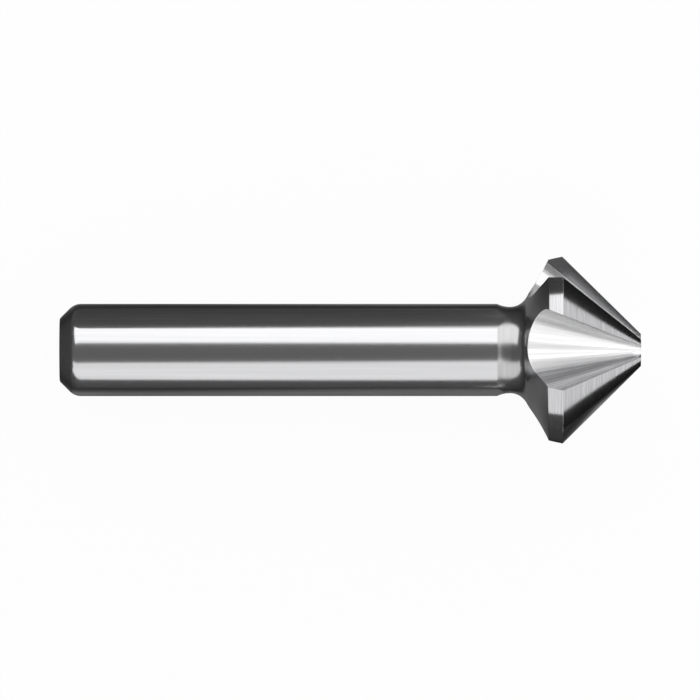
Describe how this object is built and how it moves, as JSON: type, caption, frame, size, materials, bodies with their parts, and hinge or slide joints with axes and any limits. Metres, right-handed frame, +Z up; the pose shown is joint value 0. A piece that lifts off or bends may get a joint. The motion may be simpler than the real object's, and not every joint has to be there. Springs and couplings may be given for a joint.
{
  "type": "countersink bit",
  "caption": "One-piece countersink bit: a round shank with flats, a waisted neck and a fluted cutting head with a blunt point, for sinking screw seats and deburring holes.",
  "frame": {"origin": "centre of the bounding box, on the surface that the tool lies on", "axes": "+X along the tool towards its tip, which rises 4.7 degrees towards the head; +Z up"},
  "size_m": [0.0632, 0.02, 0.0185],
  "materials": {
    "ground_steel": "bright ground high-speed steel, with fine grinding lines round the lands and along the flats"
  },
  "bodies": {
    "root": {"countersink_bit": "ground_steel"}
  },
  "joints": []
}
